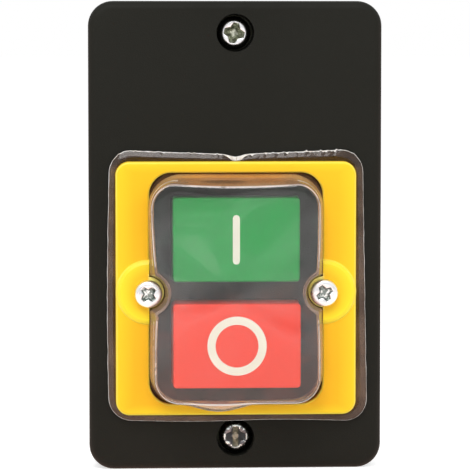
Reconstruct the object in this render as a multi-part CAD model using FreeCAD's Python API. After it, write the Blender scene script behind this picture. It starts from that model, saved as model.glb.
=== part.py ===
import FreeCAD, Part
import math
import os

from FreeCAD import Vector

# Pushbutton switch with a start and a stop button, set flush on a machine panel.
# Sizes are in millimetres. X points to the right and Z up, and the front looks along -Y.
# The origin lies on the mounting face, midway between the two mounting screws.
# The switch is drawn switched on: the start button is in and the stop button is out.

# Front plate
plate_width = 65.0
plate_depth = 10.0
plate_wall = 2.5
plate_corner = 5.5
plate_edge_round = 1.8
rib_thick = 1.3
rib_height = 2.5
rib_pitch = 16.0

# Mounting screws and their bosses
plate_height = 104.0
mount_end_room = 7.0
mount_screw_d = 4.0
mount_screw_length = 16.0
mount_screw_neck_d = 3.5
mount_head_d = 7.4
mount_head_h = 2.6
mount_hole_d = 4.5
counterbore_d = 8.4
counterbore_depth = 5.5
mount_boss_wall = 1.5
body_boss_gap = 1.2

# Button caps
cap_width = 28.1
cap_height = 18.65
cap_spacing = 23.2
cap_corner = 0.8
cap_edge_round = 0.45
cap_wall = 1.6
cap_proud = 7.0
travel = 3.0
window_gap = 0.25
lip_overhang = 1.0
lip_thick = 1.3
lip_play = 0.3
guide_gap = 0.2
guide_wall = 1.1
stem_width = 10.0
stem_height = 6.0
stem_web = 1.8

# Marks inlaid in the caps
mark_depth = 0.6
mark_proud = 0.05
bar_width = 1.55
bar_height = 10.9
ring_outer_d = 13.05
ring_band = 1.8

# Clear cover
cover_flange_reach_x = 1.9
cover_flange_reach_z = 1.7
cover_flange_thick = 1.0
cover_flange_corner = 4.0
cover_flange_sag = 1.5
cover_wall = 0.6
cover_air = 1.0
cover_room_x = 3.3
cover_room_z = 2.275
cover_fit = 0.4
cover_draft_x = 0.85
cover_draft_z = 1.5
cover_corner = 4.0
cover_edge_round = 0.8
cover_notch_gap = 0.55
cover_notch_draft = 0.35

# Yellow clamping frame
frame_side_band = 7.4
frame_end_band = 2.4
frame_thick = 2.2
frame_corner = 3.1
frame_edge_round = 0.7
frame_rise = 0.7
frame_window_corner = 5.0
frame_window_bevel = 0.3
ear_inset = 0.2
ear_rim = 0.5
pad_height = 0.5
pad_dish = 0.3
pad_edge_width = 1.0

# Frame screws and the inserts that hold them
frame_screw_d = 3.0
frame_screw_length = 16.0
frame_head_d = 5.9
frame_head_h = 2.2
frame_hole_d = 3.4
insert_d = 4.4
insert_length = 6.0
insert_inner_wall = 0.6
insert_outer_wall = 1.4

# Switch body
body_end_wall = 2.5
body_corner = 2.0
body_fit = 0.2
side_recess = 0.8
side_recess_border = 4.0

# Rocker and its pin
pin_d = 3.0
rocker_front_room = 6.6
rocker_back_room = 2.5
pin_gap = 0.06
pin_inset = 0.2
hub_radius = 4.0
hub_play = 0.3
hub_end = 1.5
arm_thick = 3.0
pad_roll_radius = 2.0
stem_gap = 0.2

# Sprung plungers in the posts of the rocker
post_d = 5.4
post_bore_d = 3.6
post_reach = 9.5
post_floor = 3.0
plunger_d = 3.4
plunger_reach = 12.0
plunger_length = 4.8
plunger_gap = 0.1
spring_wire_d = 0.4
spring_wire_sides = 5
spring_play = 0.15
spring_turns = 3

# Contacts
poles = 3
pole_barrier = 1.6
blade_width = 6.0
blade_end = 0.9
blade_thick = 1.0
blade_tilt = 5.0
saddle_set = 0.15
saddle_nose = 0.5
saddle_gap = 0.05
saddle_flare = 0.7
contact_offset = 8.5
contact_d = 3.2
contact_rise = 0.6
contact_dome_radius = 3.2
contact_gap = 0.03
fixed_contact_d = 3.8
fixed_contact_thick = 0.7

# Terminals
strip_width = 7.0
strip_thick = 1.2
strip_overrun = 1.5
strip_end_gap = 1.0
terminal_inner_room = 1.5
terminal_outer_room = 1.5
terminal_screw_d = 3.5
terminal_screw_length = 8.0
terminal_head_d = 6.4
terminal_head_h = 2.4
washer_width = 7.0
washer_thick = 1.0

# Switch base
base_flange_thick = 6.0
base_floor = 2.5
blade_end_room = 2.5
bay_wall = 2.5
bay_side_gap = 1.7
bay_side_wall = 1.4
bay_guard = 5.2
base_corner = 1.5
body_screw_d = 2.5
body_screw_length = 12.0
body_head_d = 4.4
body_head_h = 1.8
body_screw_inset = 2.4
body_screw_spacing = 22.0

# Small clearances inside the housing
press_gap = 0.02
thread_gap = 0.03
slide_gap = 0.1
relief_gap = 0.25

# How far each screw's recess is turned, in degrees
mount_screw_turns = (22.0, 0.0)
frame_screw_turns = (45.0, 30.0)
body_screw_turn = 45.0
terminal_screw_turn = 20.0

# Across the switch: what the caps, guides, rocker and poles need
cap_offset = cap_spacing / 2
lip_width = cap_width + 2 * lip_overhang
lip_height = cap_height + 2 * lip_overhang
guide_width = lip_width + 2 * guide_gap
guide_height = lip_height + 2 * guide_gap
guide_block_width = guide_width + 2 * guide_wall
guide_block_height = cap_spacing + guide_height + 2 * guide_wall
bay_width = strip_width + 2 * bay_side_gap
pole_pitch = bay_width + pole_barrier
pole_places = [(index - (poles - 1) / 2) * pole_pitch for index in range(poles)]
posts_width = (poles - 1) * pole_pitch + post_d + 2 * hub_end
chamber_width = max(guide_block_width + 2 * body_fit, posts_width + 2 * hub_play)
hub_width = chamber_width - 2 * hub_play
chamber_height = guide_block_height + 2 * body_fit
blade_length = 2 * contact_offset + contact_d + 2 * blade_end
base_chamber_height = blade_length + 2 * blade_end_room
bay_inner = base_chamber_height / 2 + bay_wall
terminal_offset = bay_inner + terminal_inner_room + washer_width / 2
base_block_width = (poles - 1) * pole_pitch + bay_width + 2 * bay_side_wall
base_block_height = 2 * terminal_offset + washer_width + 2 * terminal_outer_room
body_height = max(chamber_height + 2 * body_end_wall, base_block_height)

# Across the front: the cover goes round the caps, the yellow frame round the cover
dome_width = cap_width + 2 * (cover_room_x + cover_wall + cover_draft_x)
dome_height = cap_spacing + cap_height + 2 * (cover_room_z + cover_wall + cover_draft_z)
frame_window_width = dome_width + 2 * cover_fit
frame_window_height = dome_height + 2 * cover_fit
frame_width = frame_window_width + 2 * frame_side_band
frame_height = frame_window_height + 2 * frame_end_band
cover_flange_width = frame_width + 2 * cover_flange_reach_x
cover_flange_height = frame_height + 2 * cover_flange_reach_z
ear_radius = frame_head_d / 2 + ear_rim
ear_x = max(
    frame_window_width / 2 + ear_inset,
    chamber_width / 2 + insert_inner_wall + insert_d / 2,
)
pad_radius = frame_width / 2 - ear_x
body_width = 2 * ear_x + insert_d + 2 * insert_outer_wall
body_screw_x = body_width / 2 - body_screw_inset

# Up and down: the switch body stands just above the boss of the lower mounting screw
mount_boss_d = counterbore_d + 2 * mount_boss_wall
mount_screw_spacing = plate_height - 2 * mount_end_room
mech_z = body_height / 2 + body_boss_gap + mount_boss_d / 2 - mount_screw_spacing / 2
frame_z = mech_z + frame_rise

# From front to back
plate_face = -plate_depth
plate_inner = plate_face + plate_wall
mount_seat = plate_face + counterbore_depth
stop_face = plate_face - cap_proud
start_face = stop_face + travel
lip_front_out = plate_inner + lip_play
lip_setback = lip_front_out - stop_face
guide_end = lip_front_out + travel + lip_thick + lip_play
cover_back = plate_face
cover_flange_front = cover_back - cover_flange_thick
cover_front = stop_face - cover_air - cover_wall
frame_front = cover_flange_front - frame_thick
pad_front = frame_front - pad_height
body_front = plate_inner
pin_y = guide_end + rocker_front_room + hub_radius
body_back = pin_y + travel / 2 + pad_roll_radius + rocker_back_room
base_flange_back = body_back + base_flange_thick
rest_angle = -math.degrees(math.asin(travel / 2 / cap_offset))
stem_end_stop = pin_y - travel / 2 - pad_roll_radius - stem_gap
stem_length = stem_end_stop - stop_face
blade_pivot_y = pin_y + plunger_reach + plunger_gap + blade_thick + saddle_set
dome_centre_y = contact_rise - saddle_set - contact_dome_radius
contact_face = (
    blade_pivot_y
    + dome_centre_y * math.cos(math.radians(blade_tilt))
    + contact_offset * math.sin(math.radians(blade_tilt))
    + contact_dome_radius
    + contact_gap
)
strip_front = contact_face + fixed_contact_thick
strip_back = strip_front + strip_thick
washer_back = strip_back + washer_thick
base_back = washer_back + terminal_head_h + bay_guard
chamber_floor = base_back - base_floor


# Forms that several pieces share

def rounded_wire(width, height, radius, y, x=0.0, z=0.0):
    """Closed outline of a rounded rectangle that faces along Y."""
    right = width / 2 - radius
    top = height / 2 - radius
    edges = []
    corners = [(right, top, 0), (-right, top, 90), (-right, -top, 180), (right, -top, 270)]
    for index, (corner_x, corner_z, start) in enumerate(corners):
        points = []
        for angle in (start, start + 45, start + 90):
            turn = math.radians(angle)
            reach_x = corner_x + radius * math.cos(turn)
            reach_z = corner_z + radius * math.sin(turn)
            points.append(Vector(x + reach_x, y, z + reach_z))
        edges.append(Part.Arc(*points).toShape())
        next_x, next_z, next_start = corners[(index + 1) % 4]
        turn = math.radians(next_start)
        next_point = Vector(
            x + next_x + radius * math.cos(turn), y, z + next_z + radius * math.sin(turn)
        )
        if not next_point.isEqual(points[-1], 1e-6):
            edges.append(Part.makeLine(points[-1], next_point))
    return Part.Wire(edges)


def rounded_block(width, height, radius, y_from, y_to, x=0.0, z=0.0):
    """Rounded rectangle carried along Y."""
    face = Part.Face(rounded_wire(width, height, radius, y_from, x, z))
    return face.extrude(Vector(0, y_to - y_from, 0))


def block(x_from, x_to, y_from, y_to, z_from, z_to):
    """Plain block between two corners."""
    corner = Vector(min(x_from, x_to), min(y_from, y_to), min(z_from, z_to))
    return Part.makeBox(
        abs(x_to - x_from), abs(y_to - y_from), abs(z_to - z_from), corner
    )


def rod_y(diameter, y_from, y_to, x=0.0, z=0.0):
    """Round rod along Y."""
    return Part.makeCylinder(
        diameter / 2, y_to - y_from, Vector(x, y_from, z), Vector(0, 1, 0)
    )


def rod_x(diameter, x_from, x_to, y, z):
    """Round rod along X."""
    return Part.makeCylinder(
        diameter / 2, x_to - x_from, Vector(x_from, y, z), Vector(1, 0, 0)
    )


def rounded_edges(shape, radius, chosen):
    """The shape with a fillet on each edge that the chosen test picks."""
    edges = [edge for edge in shape.Edges if chosen(edge)]
    return shape.makeFillet(radius, edges)


def lies_at(edge, y):
    """True for an edge that lies in the plane at y."""
    small = 1e-4
    return abs(edge.BoundBox.YMin - y) < small and abs(edge.BoundBox.YMax - y) < small


def turned_screw(diameter, length, crown, neck_d=0.0, neck_length=0.0):
    """Screw turned from the outline of its head and shank, which may have a thinner neck."""
    shank = [
        crown[-1].Vertexes[-1].Point, Vector(0, 0, -length), Vector(diameter / 2, 0, -length)
    ]
    if neck_length:
        shank += [Vector(r / 2, 0, -neck_length) for r in (diameter, neck_d)]
    shank += [Vector((neck_d or diameter) / 2, 0, 0), crown[0].Vertexes[0].Point]
    outline = Part.Wire(crown + [Part.makeLine(*pair) for pair in zip(shank, shank[1:])])
    return Part.Face(outline).revolve(Vector(0, 0, 0), Vector(0, 0, 1), 360)


def seated_screw(screw, seat, x, z, side):
    """The screw, drawn head up, turned along Y with its head on the plane at seat."""
    screw.rotate(Vector(0, 0, 0), Vector(1, 0, 0), -90 * side)
    screw.translate(Vector(x, seat, z))
    return screw


def slot_cut(reach, width, floor, top, angle):
    """Straight slot across the middle of a head."""
    cut = block(-reach, reach, -width / 2, width / 2, floor, top)
    cut.rotate(Vector(0, 0, 0), Vector(0, 0, 1), angle)
    return cut


def pan_screw(diameter, length, head_d, head_h, seat, x, z, turn, neck_d=0.0, neck_end=0.0):
    """Pan-head screw with a cross recess, which faces the front."""
    edge = Vector(head_d / 2, 0, head_h * 0.4)
    top = Vector(0, 0, head_h)
    crown = [
        Part.makeLine(Vector(head_d / 2, 0, 0), edge),
        Part.Arc(edge, Vector(head_d * 0.32, 0, head_h * 0.9), top).toShape(),
    ]
    neck_length = neck_end - seat if neck_d else 0.0
    screw = turned_screw(diameter, length, crown, neck_d, neck_length)
    for angle in (turn, turn + 90):
        screw = screw.cut(slot_cut(
            head_d * 0.3, head_d * 0.17, head_h * 0.45, head_h + 1, angle
        ))
    return seated_screw(screw, seat, x, z, -1)


def slotted_screw(diameter, length, head_d, head_h, seat, x, z, turn=0.0):
    """Cheese-head screw with one slot, which faces the back."""
    bevel = head_h * 0.3
    corners = [
        Vector(head_d / 2, 0, 0), Vector(head_d / 2, 0, head_h - bevel),
        Vector(head_d / 2 - bevel, 0, head_h), Vector(0, 0, head_h),
    ]
    crown = [Part.makeLine(*pair) for pair in zip(corners, corners[1:])]
    screw = turned_screw(diameter, length, crown)
    screw = screw.cut(slot_cut(head_d, head_d * 0.17, head_h * 0.45, head_h + 1, turn))
    return seated_screw(screw, seat, x, z, 1)


def save(name, shape):
    """Write one node's solid, or its group of like solids."""
    shape.exportStep(os.path.join("parts", name + ".step"))


# Front plate: a shallow moulded box, open to the back, with bosses, guides and ribs inside

def make_front_plate():
    plate = rounded_block(plate_width, plate_height, plate_corner, plate_face, 0)
    plate = rounded_edges(plate, plate_edge_round, lambda edge: lies_at(edge, plate_face))
    pocket = rounded_block(
        plate_width - 2 * plate_wall, plate_height - 2 * plate_wall,
        plate_corner - plate_wall, plate_inner, 1
    )
    plate = plate.cut(pocket)
    for z in (mount_screw_spacing / 2, -mount_screw_spacing / 2):
        plate = plate.fuse(rod_y(mount_boss_d, plate_inner, 0, 0, z))
    plate = plate.fuse(locating_rib()).fuse(stiffening_ribs()).fuse(button_guides())
    for z in (mount_screw_spacing / 2, -mount_screw_spacing / 2):
        plate = plate.cut(rod_y(counterbore_d, plate_face - 1, mount_seat, 0, z))
        plate = plate.cut(rod_y(mount_hole_d, mount_seat - 1, 1, 0, z))
    for z in (mech_z + cap_offset, mech_z - cap_offset):
        plate = plate.cut(rounded_block(
            cap_width + 2 * window_gap, cap_height + 2 * window_gap,
            cap_corner + window_gap, plate_face - 1, plate_inner + 1, 0, z
        ))
    for x in (-ear_x, ear_x):
        plate = plate.cut(rod_y(frame_hole_d, plate_face - 1, plate_inner + 1, x, mech_z))
    return plate.removeSplitter()


def locating_rib():
    """Low wall on the back of the plate, round the front end of the switch body."""
    inner_width = body_width + 2 * body_fit
    inner_height = body_height + 2 * body_fit
    outer = rounded_block(
        inner_width + 2 * rib_thick, inner_height + 2 * rib_thick,
        body_corner + body_fit + rib_thick, plate_inner, plate_inner + rib_height, 0, mech_z
    )
    inner = rounded_block(
        inner_width, inner_height, body_corner + body_fit,
        plate_inner, plate_inner + rib_height, 0, mech_z
    )
    return outer.cut(inner)


def stiffening_ribs():
    """Three upright ribs between the locating rib and the top wall of the plate."""
    bottom = mech_z + body_height / 2 + body_fit + rib_thick / 2
    ribs = []
    for x in (-rib_pitch, 0, rib_pitch):
        top = mount_screw_spacing / 2 if x == 0 else plate_height / 2 - plate_wall / 2
        ribs.append(block(
            x - rib_thick / 2, x + rib_thick / 2,
            plate_inner, plate_inner + rib_height, bottom, top
        ))
    return ribs[0].fuse(ribs[1:])


def button_guides():
    """Collar behind the two windows, which the lips of the caps slide in."""
    guides = rounded_block(
        guide_block_width, guide_block_height, cap_corner + guide_wall,
        plate_inner, guide_end, 0, mech_z
    )
    for z in (mech_z + cap_offset, mech_z - cap_offset):
        guides = guides.cut(rounded_block(
            guide_width, guide_height, cap_corner, plate_inner, guide_end + 1, 0, z
        ))
    return guides


# Button caps: hollow moulded caps with a lip behind the plate and a cross-shaped stem

def make_cap(face, z):
    shell = rounded_block(
        cap_width, cap_height, cap_corner, face, face + lip_setback + lip_thick, 0, z
    )
    shell = rounded_edges(shell, cap_edge_round, lambda edge: lies_at(edge, face))
    lip = rounded_block(
        lip_width, lip_height, cap_corner,
        face + lip_setback, face + lip_setback + lip_thick, 0, z
    )
    hollow = block(
        cap_wall - cap_width / 2, cap_width / 2 - cap_wall,
        face + cap_wall, face + lip_setback + lip_thick,
        z + cap_wall - cap_height / 2, z + cap_height / 2 - cap_wall
    )
    stem_front = face + cap_wall
    stem_back = face + stem_length
    flat_rib = block(
        -stem_width / 2, stem_width / 2, stem_front, stem_back, z - stem_web / 2, z + stem_web / 2
    )
    upright_rib = block(
        -stem_web / 2, stem_web / 2, stem_front, stem_back, z - stem_height / 2, z + stem_height / 2
    )
    foot = block(
        -stem_width / 2, stem_width / 2, stem_back - stem_web, stem_back,
        z - stem_height / 2, z + stem_height / 2
    )
    return shell.fuse(lip).cut(hollow).fuse([flat_rib, upright_rib, foot])


def bar_mark(y_from, y_to, grow):
    """The bar (I), standing upright with round ends."""
    return rounded_block(
        bar_width + 2 * grow, bar_height + 2 * grow, bar_width / 2 + grow,
        y_from, y_to, 0, mech_z + cap_offset
    )


def ring_mark(y_from, y_to, grow):
    """The ring (O)."""
    z = mech_z - cap_offset
    outer = rod_y(ring_outer_d + 2 * grow, y_from, y_to, 0, z)
    inner_d = ring_outer_d - 2 * ring_band
    return outer.cut(rod_y(inner_d - 2 * grow, y_from, y_to, 0, z))


def save_button(name, face, z, mark):
    """Cap and inlaid mark of one button."""
    cap = make_cap(face, z)
    cap = cap.cut(mark(face - 1, face + mark_depth, press_gap))
    save(name + "_cap", cap.removeSplitter())
    save(name + "_symbol", mark(face - mark_proud, face + mark_depth, 0))


# Clear cover: a soft flange with a drafted dome that is notched round the two ears

def cover_flange():
    """Flange whose top edge sags between its two top corners."""
    bottom = frame_z - cover_flange_height / 2
    top = frame_z + cover_flange_height / 2
    side = cover_flange_width / 2
    radius = cover_flange_corner
    y = cover_flange_front
    sheet = rounded_block(
        cover_flange_width, cover_flange_height, radius, y, cover_back, 0, frame_z
    )
    sag_edge = [
        Part.Arc(
            Vector(-side, y, top), Vector(0, y, top - cover_flange_sag), Vector(side, y, top)
        ).toShape(),
        Part.makeLine(Vector(side, y, top), Vector(side, y, top + 1)),
        Part.makeLine(Vector(side, y, top + 1), Vector(-side, y, top + 1)),
        Part.makeLine(Vector(-side, y, top + 1), Vector(-side, y, top)),
    ]
    sag = Part.Face(Part.Wire(sag_edge)).extrude(Vector(0, cover_flange_thick, 0))
    return sheet.cut(sag)


def dome_form(inset, front, back):
    """Drafted dome, set in from the outside by the inset, with a notch round each ear."""
    base = rounded_wire(
        dome_width - 2 * inset, dome_height - 2 * inset, cover_corner, back, 0, frame_z
    )
    tip = rounded_wire(
        dome_width - 2 * cover_draft_x - 2 * inset, dome_height - 2 * cover_draft_z - 2 * inset,
        cover_corner, front, 0, mech_z
    )
    dome = Part.makeLoft([base, tip], True, True)
    notch_back = ear_radius + cover_notch_gap + inset
    notch_front = notch_back + cover_notch_draft
    for x in (-ear_x, ear_x):
        dome = dome.cut(Part.makeCone(
            notch_front, notch_back, back - front, Vector(x, front, mech_z), Vector(0, 1, 0)
        ))
    return dome


def make_clear_cover():
    outer = dome_form(0, cover_front, cover_back)
    outer = rounded_edges(outer, cover_edge_round, lambda edge: lies_at(edge, cover_front))
    inner = dome_form(cover_wall, cover_front + cover_wall, cover_back)
    cover = cover_flange().fuse(outer).cut(inner)
    for x in (-ear_x, ear_x):
        cover = cover.cut(rod_y(frame_hole_d, cover_flange_front - 1, cover_back + 1, x, mech_z))
    return cover.removeSplitter()


# Yellow clamping frame: a flat moulded ring with two ears that carry the screws

def make_clamp_frame():
    frame = rounded_block(
        frame_width, frame_height, frame_corner, frame_front, cover_flange_front, 0, frame_z
    )
    frame = rounded_edges(frame, frame_edge_round, lambda edge: lies_at(edge, frame_front))
    frame = frame.cut(rounded_block(
        frame_window_width, frame_window_height, frame_window_corner,
        frame_front - 1, cover_flange_front + 1, 0, frame_z
    ))
    frame = frame.makeChamfer(frame_window_bevel, [e for e in frame.Edges if on_window(e)])
    window_side = frame_window_width / 2
    for side in (-1, 1):
        x = side * ear_x
        band = block(
            side * window_side, side * (frame_width / 2 + pad_radius),
            pad_front - pad_dish - 1, cover_flange_front,
            mech_z - pad_radius - 1, mech_z + pad_radius + 1
        )
        ear = rod_y(2 * ear_radius, pad_front, cover_flange_front, x, mech_z)
        frame = frame.fuse(screw_pad(x).common(band)).fuse(ear)
    for x in (-ear_x, ear_x):
        frame = frame.cut(rod_y(frame_hole_d, pad_front - 1, cover_flange_front + 1, x, mech_z))
    return frame.removeSplitter()


def on_window(edge):
    """True for a front edge of the frame's window."""
    box = edge.BoundBox
    reach_x = max(box.XMax, -box.XMin)
    reach_z = max(box.ZMax - frame_z, frame_z - box.ZMin)
    outside = reach_x > frame_window_width / 2 + 0.01 or reach_z > frame_window_height / 2 + 0.01
    return lies_at(edge, frame_front) and not outside


def screw_pad(x):
    """Raised disc round a frame screw, with a stepped bevel and a dished face."""
    rim_front = pad_front - pad_dish
    rise = frame_front - rim_front
    outline = Part.makePolygon([
        Vector(0, cover_flange_front, 0), Vector(pad_radius, cover_flange_front, 0),
        Vector(pad_radius, frame_front, 0),
        Vector(pad_radius - 0.35 * pad_edge_width, frame_front - 0.65 * rise, 0),
        Vector(pad_radius - pad_edge_width, rim_front, 0),
        Vector(ear_radius, pad_front, 0), Vector(0, pad_front, 0),
        Vector(0, cover_flange_front, 0),
    ])
    pad = Part.Face(outline).revolve(Vector(0, 0, 0), Vector(0, 1, 0), 360)
    pad.translate(Vector(x, 0, mech_z))
    return pad


def make_frame_screws():
    screws = [
        pan_screw(
            frame_screw_d, frame_screw_length, frame_head_d, frame_head_h,
            pad_front, side * ear_x, mech_z, turn
        )
        for side, turn in zip((-1, 1), frame_screw_turns)
    ]
    return Part.makeCompound(screws)


def make_mount_screws():
    screws = [
        pan_screw(
            mount_screw_d, mount_screw_length, mount_head_d, mount_head_h,
            mount_seat, 0, side * mount_screw_spacing / 2, turn, mount_screw_neck_d, 0
        )
        for side, turn in zip((1, -1), mount_screw_turns)
    ]
    return Part.makeCompound(screws)


def make_screw_inserts():
    inserts = []
    for x in (-ear_x, ear_x):
        sleeve = rod_y(insert_d, body_front, body_front + insert_length, x, mech_z)
        bore = rod_y(
            frame_screw_d + 2 * thread_gap, body_front, body_front + insert_length, x, mech_z
        )
        inserts.append(sleeve.cut(bore))
    return Part.makeCompound(inserts)


# Switch body: the moulded case of the rocker, with a shallow panel in each side

def make_switch_body():
    body = rounded_block(
        body_width, body_height, body_corner, body_front, body_back, 0, mech_z
    )
    body = body.cut(rounded_block(
        chamber_width, chamber_height, cap_corner, body_front - 1, body_back + 1, 0, mech_z
    ))
    screw_end = pad_front + frame_screw_length
    for side in (-1, 1):
        x = side * ear_x
        body = body.cut(rod_y(
            insert_d + 2 * press_gap, body_front - 1, body_front + insert_length, x, mech_z
        ))
        body = body.cut(rod_y(
            frame_screw_d + 2 * relief_gap, body_front, screw_end + relief_gap, x, mech_z
        ))
        body = body.cut(block(
            side * (body_width / 2 - side_recess), side * (body_width / 2 + 1),
            body_front + side_recess_border, body_back - side_recess_border,
            mech_z + side_recess_border - body_height / 2,
            mech_z - side_recess_border + body_height / 2
        ))
    body = body.cut(rod_x(
        pin_d + 2 * press_gap, -body_width, body_width, pin_y, mech_z
    ))
    for x, z in body_screw_places():
        body = body.cut(rod_y(
            body_screw_d + 2 * thread_gap, base_flange_back - body_screw_length - relief_gap,
            body_back + 1, x, z
        ))
    return body.removeSplitter()


def body_screw_places():
    """Places of the four screws that hold the base to the body."""
    places = []
    for x in (-body_screw_x, body_screw_x):
        for z in (mech_z - body_screw_spacing / 2, mech_z + body_screw_spacing / 2):
            places.append((x, z))
    return places


def make_body_screws():
    return Part.makeCompound([
        slotted_screw(
            body_screw_d, body_screw_length, body_head_d, body_head_h,
            base_flange_back, x, z, body_screw_turn
        )
        for x, z in body_screw_places()
    ])


# Rocker: a see-saw on a steel pin, with a post for the sprung plunger of each pole

def turned_to_rest(shape):
    """The shape, drawn upright, turned with the rocker to its place at rest."""
    shape.rotate(Vector(0, pin_y, mech_z), Vector(1, 0, 0), rest_angle)
    return shape


def make_rocker():
    rocker = rod_x(2 * hub_radius, -hub_width / 2, hub_width / 2, pin_y, mech_z)
    web = block(
        -stem_width / 2, stem_width / 2, pin_y - arm_thick / 2, pin_y + arm_thick / 2,
        mech_z - cap_offset, mech_z + cap_offset
    )
    rocker = rocker.fuse(web)
    for z in (mech_z - cap_offset, mech_z + cap_offset):
        rocker = rocker.fuse(rod_x(
            2 * pad_roll_radius, -stem_width / 2, stem_width / 2, pin_y, z
        ))
    for x in pole_places:
        rocker = rocker.fuse(rod_y(post_d, pin_y, pin_y + post_reach, x, mech_z))
    for x in pole_places:
        rocker = rocker.cut(rod_y(
            post_bore_d, pin_y + post_floor, pin_y + post_reach + 1, x, mech_z
        ))
    rocker = rocker.cut(rod_x(
        pin_d + 2 * pin_gap, -chamber_width, chamber_width, pin_y, mech_z
    ))
    return turned_to_rest(rocker.removeSplitter())


def make_rocker_pin():
    half = body_width / 2 - side_recess - pin_inset
    return rod_x(pin_d, -half, half, pin_y, mech_z)


def make_plunger(x):
    """Plunger with a round tip, which slides over its blade."""
    tip = pin_y + plunger_reach
    back = tip - plunger_length
    radius = plunger_d / 2
    plunger = rod_y(plunger_d, back, tip - radius, x, mech_z)
    plunger = plunger.fuse(Part.makeSphere(radius, Vector(x, tip - radius, mech_z)))
    return turned_to_rest(plunger.removeSplitter())


def make_contact_spring(x):
    """Compression spring between the floor of a post and its plunger."""
    coil_radius = (post_bore_d - spring_wire_d) / 2 - spring_play
    front = pin_y + post_floor + spring_wire_d / 2 + spring_play
    back = pin_y + plunger_reach - plunger_length - spring_wire_d / 2 - spring_play
    height = back - front
    helix = Part.makeHelix(height / spring_turns, height, coil_radius)
    rim = []
    for corner in range(spring_wire_sides + 1):
        turn = 2 * math.pi * corner / spring_wire_sides
        reach = spring_wire_d / 2
        rim.append(Vector(coil_radius + reach * math.cos(turn), 0, reach * math.sin(turn)))
    spring = Part.Wire(helix.Edges).makePipeShell([Part.makePolygon(rim)], True, True)
    spring.rotate(Vector(0, 0, 0), Vector(1, 0, 0), -90)
    spring.translate(Vector(x, front, mech_z))
    return turned_to_rest(spring)


# Contacts: a blade rocks on the knife edge of the line terminal and closes on the load terminal

def tilted_with_blade(shape):
    """The shape, drawn upright, tilted with the blade to its place at rest."""
    shape.rotate(Vector(0, blade_pivot_y, mech_z), Vector(1, 0, 0), blade_tilt)
    return shape


def make_contact_blade(x):
    back = blade_pivot_y - saddle_set
    blade = rounded_block(
        blade_width, blade_length, blade_width / 4, back - blade_thick, back, x, mech_z
    )
    groove = rod_x(
        2 * (saddle_nose + saddle_gap), x - blade_width, x + blade_width, blade_pivot_y, mech_z
    )
    return tilted_with_blade(blade.cut(groove))


def make_moving_contact(x):
    back = blade_pivot_y - saddle_set
    z = mech_z - contact_offset
    button = rod_y(contact_d, back, back + contact_rise, x, z)
    ball = Part.makeSphere(
        contact_dome_radius, Vector(x, back + contact_rise - contact_dome_radius, z)
    )
    return tilted_with_blade(button.common(ball))


def make_fixed_contact(x):
    return rod_y(fixed_contact_d, contact_face, strip_front, x, mech_z - contact_offset)


def terminal_strip(x, z_inner, side):
    """Flat strip from inside the chamber to a terminal bay, holed for the screw."""
    z_outer = mech_z + side * (base_block_height / 2 - strip_end_gap)
    strip = block(
        x - strip_width / 2, x + strip_width / 2, strip_front, strip_back, z_inner, z_outer
    )
    hole = rod_y(
        terminal_screw_d + 2 * thread_gap, strip_front - 1, strip_back + 1,
        x, mech_z + side * terminal_offset
    )
    return strip.cut(hole)


def make_line_terminal(x):
    """Upper strip, with the knife edge that the blade rocks on."""
    strip = terminal_strip(x, mech_z - strip_overrun, 1)
    half = blade_width / 2
    root = saddle_nose + saddle_flare
    outline = Part.makePolygon([
        Vector(x - half, blade_pivot_y, mech_z - saddle_nose),
        Vector(x - half, blade_pivot_y, mech_z + saddle_nose),
        Vector(x - half, strip_front, mech_z + root),
        Vector(x - half, strip_front, mech_z - root),
        Vector(x - half, blade_pivot_y, mech_z - saddle_nose),
    ])
    wedge = Part.Face(outline).extrude(Vector(blade_width, 0, 0))
    nose = rod_x(2 * saddle_nose, x - half, x + half, blade_pivot_y, mech_z)
    return strip.fuse([wedge, nose]).removeSplitter()


def make_load_terminal(x):
    """Lower strip, which carries the fixed contact."""
    return terminal_strip(x, mech_z - contact_offset + fixed_contact_d / 2 + slide_gap, -1)


def terminal_places():
    """Places of the six terminal screws."""
    return [
        (x, mech_z + side * terminal_offset) for x in pole_places for side in (1, -1)
    ]


def make_terminal_screws():
    return Part.makeCompound([
        slotted_screw(
            terminal_screw_d, terminal_screw_length, terminal_head_d, terminal_head_h,
            washer_back, x, z, terminal_screw_turn
        )
        for x, z in terminal_places()
    ])


def make_clamp_washers():
    washers = []
    for x, z in terminal_places():
        plate = block(
            x - washer_width / 2, x + washer_width / 2, strip_back, washer_back,
            z - washer_width / 2, z + washer_width / 2
        )
        hole = rod_y(terminal_screw_d + 2 * slide_gap, strip_back, washer_back, x, z)
        washers.append(plate.cut(hole))
    return Part.makeCompound(washers)


# Switch base: closes the body from behind and parts the terminals with barriers

def make_switch_base():
    base = rounded_block(
        body_width, body_height, body_corner, body_back, base_flange_back, 0, mech_z
    )
    base = base.fuse(rounded_block(
        base_block_width, base_block_height, base_corner, body_back, base_back, 0, mech_z
    ))
    half_chamber = base_chamber_height / 2
    for x in pole_places:
        base = base.cut(block(
            x - bay_width / 2, x + bay_width / 2, body_back - 1, chamber_floor,
            mech_z - half_chamber, mech_z + half_chamber
        ))
        base = base.cut(terminal_bay(x, 1)).cut(terminal_bay(x, -1))
    base = base.cut(block(
        pole_places[0], pole_places[-1], body_back - 1, pin_y + post_reach + relief_gap,
        mech_z - half_chamber, mech_z + half_chamber
    ))
    for x in pole_places:
        base = base.fuse(strip_support(x, mech_z))
        base = base.fuse(strip_support(x, mech_z - contact_offset))
    for x, z in body_screw_places():
        base = base.cut(rod_y(
            body_screw_d + 2 * slide_gap, body_back - 1, base_flange_back + 1, x, z
        ))
        base = base.cut(rod_y(
            body_head_d + 2 * relief_gap, base_flange_back, base_back + 1, x, z
        ))
    return base.removeSplitter()


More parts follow.
